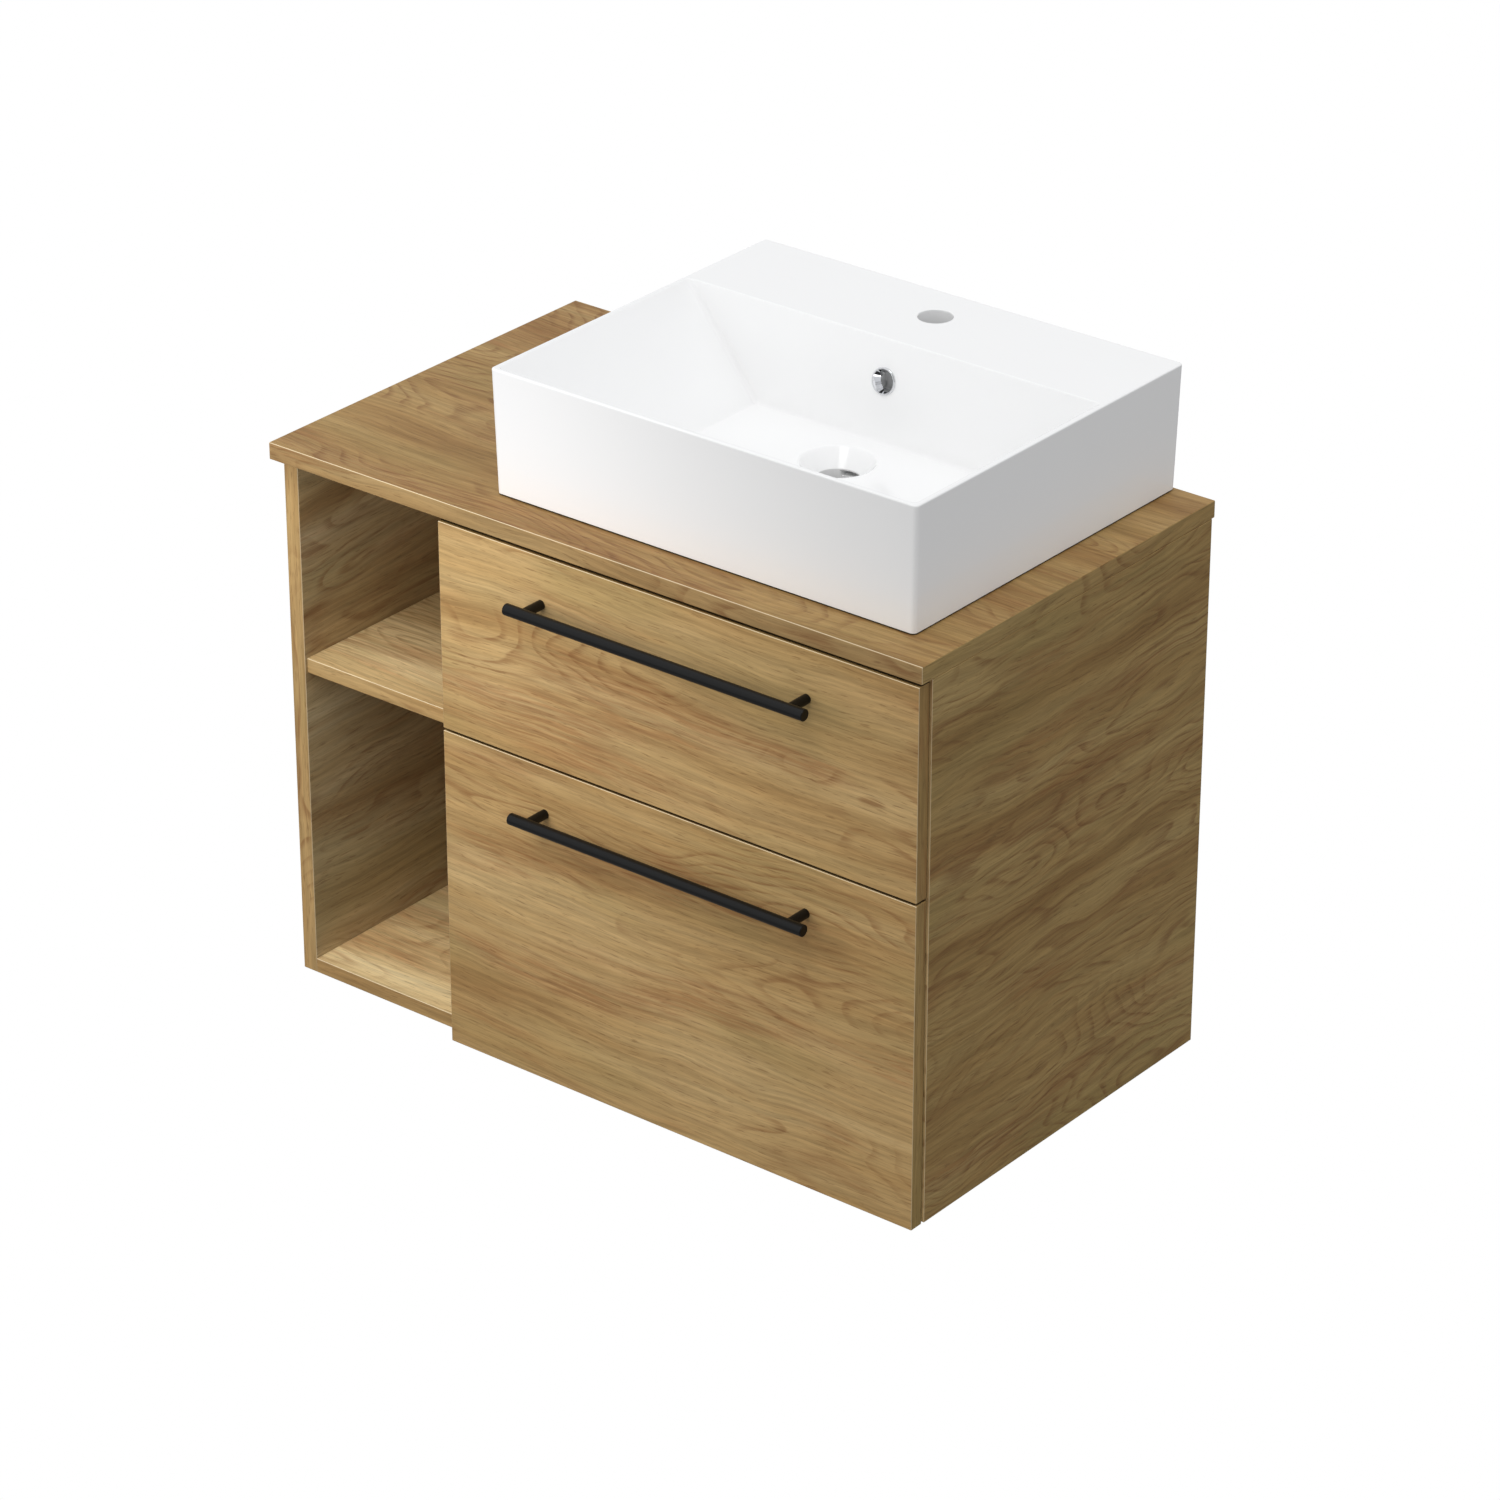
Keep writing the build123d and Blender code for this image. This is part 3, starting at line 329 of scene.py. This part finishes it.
# Painted light: the upper faces of the niche's shelf and bottom are much brighter and bluer, as if
# more light reached into the niche.
NICHE_PAINTED_LIGHT = {(Z, 1): (1.70, 1.95, 2.35)}
oak("niche_shelf", X, 7, 0.6, NICHE_PAINTED_LIGHT)
oak("niche_bottom", X, 8, 0.8, NICHE_PAINTED_LIGHT)
plain_boards = (
    "upper_drawer_front", "lower_drawer_front", "niche_back_panel", "drawer_bay_bottom",
    "top_front_rail", "top_back_rail", "lower_back_rail",
)
for number, node in enumerate(plain_boards):
    oak(node, X, 2 if number < 2 else 7 + number)


# ---- other materials ----
def ceramic():
    """Glossy white glaze with a barely wavy surface."""
    material, n, shader = new_material("white_glaze")
    place = n.add("ShaderNodeTexCoord").outputs["Object"]
    waves = n.noise(place, scale=28.0, detail=1.0)
    tone = n.noise(place, scale=7.0, detail=2.0)
    colour = n.mix(tone, (0.965, 0.966, 0.966), (0.98, 0.981, 0.98))
    n.link(colour, shader.inputs["Base Color"])
    n.link(n.smooth(waves, 0.3, 0.7, 0.02, 0.04), shader.inputs["Roughness"])
    n.link(n.bump(waves, 0.01 * MM, 0.3), shader.inputs["Normal"])
    shader.inputs["Specular IOR Level"].default_value = 0.28
    return material


def metal(name, colour, roughness, grain=0.0, metallic=1.0):
    """Metal, or paint on it: grain is the height of its fine texture in mm."""
    material, n, shader = new_material(name)
    place = n.add("ShaderNodeTexCoord").outputs["Object"]
    fine = n.noise(place, scale=1400.0, detail=2.0)
    worn = n.noise(place, scale=30.0, detail=3.0)
    shade = n.smooth(worn, 0.3, 0.7, 0.94, 1.04)
    n.link(n.dim(colour, shade), shader.inputs["Base Color"])
    n.link(n.smooth(worn, 0.3, 0.7, roughness * 0.9, roughness * 1.1), shader.inputs["Roughness"])
    shader.inputs["Metallic"].default_value = metallic
    if not metallic:
        shader.inputs["Specular IOR Level"].default_value = 0.25
    if grain:
        n.link(n.bump(fine, grain * MM, 0.6), shader.inputs["Normal"])
    return material


def drawer_board():
    """Grey laminate with a woven linen look."""
    material, n, shader = new_material("linen_laminate")
    place = n.add("ShaderNodeTexCoord").outputs["Object"]
    warp = n.noise(n.stretch(place, (30.0, 30.0, 1500.0)), detail=2.0)
    weft = n.noise(n.stretch(place, (1500.0, 1500.0, 30.0)), detail=2.0)
    weave = n.math("MULTIPLY", n.math("ADD", warp, weft), 0.5)
    n.link(n.ramp(weave, [(0.35, srgb(132, 128, 120)), (0.65, srgb(186, 182, 174))]),
           shader.inputs["Base Color"])
    n.link(n.bump(weave, 0.05 * MM, 0.5), shader.inputs["Normal"])
    shader.inputs["Roughness"].default_value = 0.55
    return material


def plastic(name, colour, roughness):
    """Moulded plastic or rubber with a fine spark-eroded texture."""
    material, n, shader = new_material(name)
    place = n.add("ShaderNodeTexCoord").outputs["Object"]
    fine = n.noise(place, scale=900.0, detail=3.0)
    shade = n.smooth(fine, 0.3, 0.7, 0.95, 1.03)
    n.link(n.dim(colour, shade), shader.inputs["Base Color"])
    n.link(n.bump(fine, 0.03 * MM, 0.5), shader.inputs["Normal"])
    shader.inputs["Roughness"].default_value = roughness
    return material


SLOT_MATERIALS = {
    "ceramic": ceramic(),
    "chrome": metal("chrome", srgb(226, 227, 229), 0.03),
    "black_metal": metal("black_powder_coat", srgb(9, 9, 9), 0.40, grain=0.003, metallic=0.0),
    "zinc_steel": metal("zinc_plated_steel", srgb(196, 198, 202), 0.32, grain=0.005),
    "die_cast": metal("die_cast_zinc", srgb(168, 170, 173), 0.48, grain=0.03),
    "drawer_board": drawer_board(),
    "beech": plastic("beech", srgb(196, 160, 116), 0.7),
    "liner": plastic("grey_plastic", srgb(150, 150, 150), 0.5),
    "bumper": plastic("clear_bumper", srgb(205, 205, 202), 0.35),
    "seal": plastic("silicone", srgb(70, 66, 60), 0.5),
}
for row in frame["record"]["subparts"]:
    if row["material_slot"] in SLOT_MATERIALS:
        assign(SLOT_MATERIALS[row["material_slot"]], row["node"])


# ---- floor, light and camera ----
FLOOR_SIZE = 60.0
FLOOR_BELOW = 0.18          # floor below the cabinet, which hangs on a wall


def floor():
    """Plain white floor that the camera sees and the light passes."""
    bpy.ops.mesh.primitive_plane_add(size=FLOOR_SIZE, location=(0, 0, CAD_BOX[0][Z] - FLOOR_BELOW))
    plane = bpy.context.object
    plane.name = "floor"
    material = bpy.data.materials.new("floor_white")
    material.use_nodes = True
    tree = material.node_tree
    tree.nodes.clear()
    n = Nodes(tree)
    glow = n.add("ShaderNodeEmission")
    glow.inputs["Color"].default_value = (1, 1, 1, 1)
    glow.inputs["Strength"].default_value = 1.0
    n.link(glow.outputs[0], n.add("ShaderNodeOutputMaterial").inputs[0])
    plane.data.materials.append(material)
    plane.visible_diffuse = False
    plane.visible_glossy = False
    plane.visible_shadow = False


def light():
    """White studio, brighter above, dark behind the viewer, with a soft key from the front and a
    soft box at the niche."""
    world = bpy.data.worlds.new("studio")
    bpy.context.scene.world = world
    world.use_nodes = True
    world.node_tree.nodes.clear()
    n = Nodes(world.node_tree)
    direction = n.add("ShaderNodeTexCoord").outputs["Generated"]
    towards = n.add("ShaderNodeSeparateXYZ")
    n.link(direction, towards.inputs[0])
    ambient = n.smooth(towards.outputs[2], -0.7, 1.0, 0.17, 0.82)
    ambient = n.math("MULTIPLY", ambient, n.smooth(towards.outputs[0], 0.2, 0.9, 1.0, 1.15))
    dark_side = n.add("ShaderNodeVectorMath", operation="DOT_PRODUCT")
    n.link(direction, dark_side.inputs[0])
    dark_side.inputs[1].default_value = Vector((0.5, -0.8, 0.25)).normalized()
    bright_back = n.smooth(towards.outputs[1], 0.1, 0.7, 1.0, 0.75)
    mirrored = n.smooth(dark_side.outputs["Value"], 0.72, 0.86, bright_back, 0.04)
    dim_below = n.smooth(towards.outputs[2], -0.35, -0.05, 0.35, 1.0)
    mirrored = n.math("MULTIPLY", mirrored, dim_below)
    # Mirrored and camera rays see this level, and diffuse rays the soft one.
    is_diffuse = n.add("ShaderNodeLightPath").outputs["Is Diffuse Ray"]
    level = n.add("ShaderNodeMix", data_type="FLOAT")
    n.link(is_diffuse, level.inputs[0])
    n.link(mirrored, level.inputs[2])
    n.link(ambient, level.inputs[3])
    sky = n.add("ShaderNodeBackground")
    sky.inputs["Color"].default_value = (0.975, 0.985, 1.0, 1.0)
    n.link(level.outputs[0], sky.inputs["Strength"])
    n.link(sky.outputs[0], n.add("ShaderNodeOutputWorld").inputs[0])

    key = bpy.data.lights.new("key", "SUN")
    key.energy = 0.74
    key.color = (1.0, 0.985, 0.965)
    key.angle = math.radians(24)
    key_object = bpy.data.objects.new("key", key)
    from_front = Vector((0.08, -0.48, 0.87))
    key_object.rotation_euler = from_front.to_track_quat("Z", "Y").to_euler()
    bpy.context.scene.collection.objects.link(key_object)

    # A soft box in front of the niche.
    low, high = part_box("niche_shelf")
    niche_front = Vector(((low[0] + high[0]) / 2, low[1], high[2]))
    fill = bpy.data.lights.new("niche_fill", "AREA")
    fill.energy = 1.8
    fill.size = 0.35
    fill_object = bpy.data.objects.new("niche_fill", fill)
    fill_object.location = niche_front + Vector((0.06, -0.52, 0.32))
    way = fill_object.location - niche_front
    fill_object.rotation_euler = way.to_track_quat("Z", "Y").to_euler()
    fill_object.visible_glossy = False
    fill_object.visible_camera = False
    bpy.context.scene.collection.objects.link(fill_object)


def camera():
    """The photograph's viewpoint: from the front right, 27 degrees above, through a long lens."""
    data = bpy.data.cameras.new("camera")
    data.sensor_width = 36.0
    data.lens = 135.0
    data.clip_end = 100.0
    view = bpy.data.objects.new("camera", data)
    view.location = (3.0005, -4.1008, 2.3368)
    view.rotation_euler = (math.radians(90 - 27.007), 0.0, math.radians(38.629))
    bpy.context.scene.collection.objects.link(view)
    bpy.context.scene.camera = view


floor()
light()
camera()
bpy.context.scene.view_settings.view_transform = "Standard"
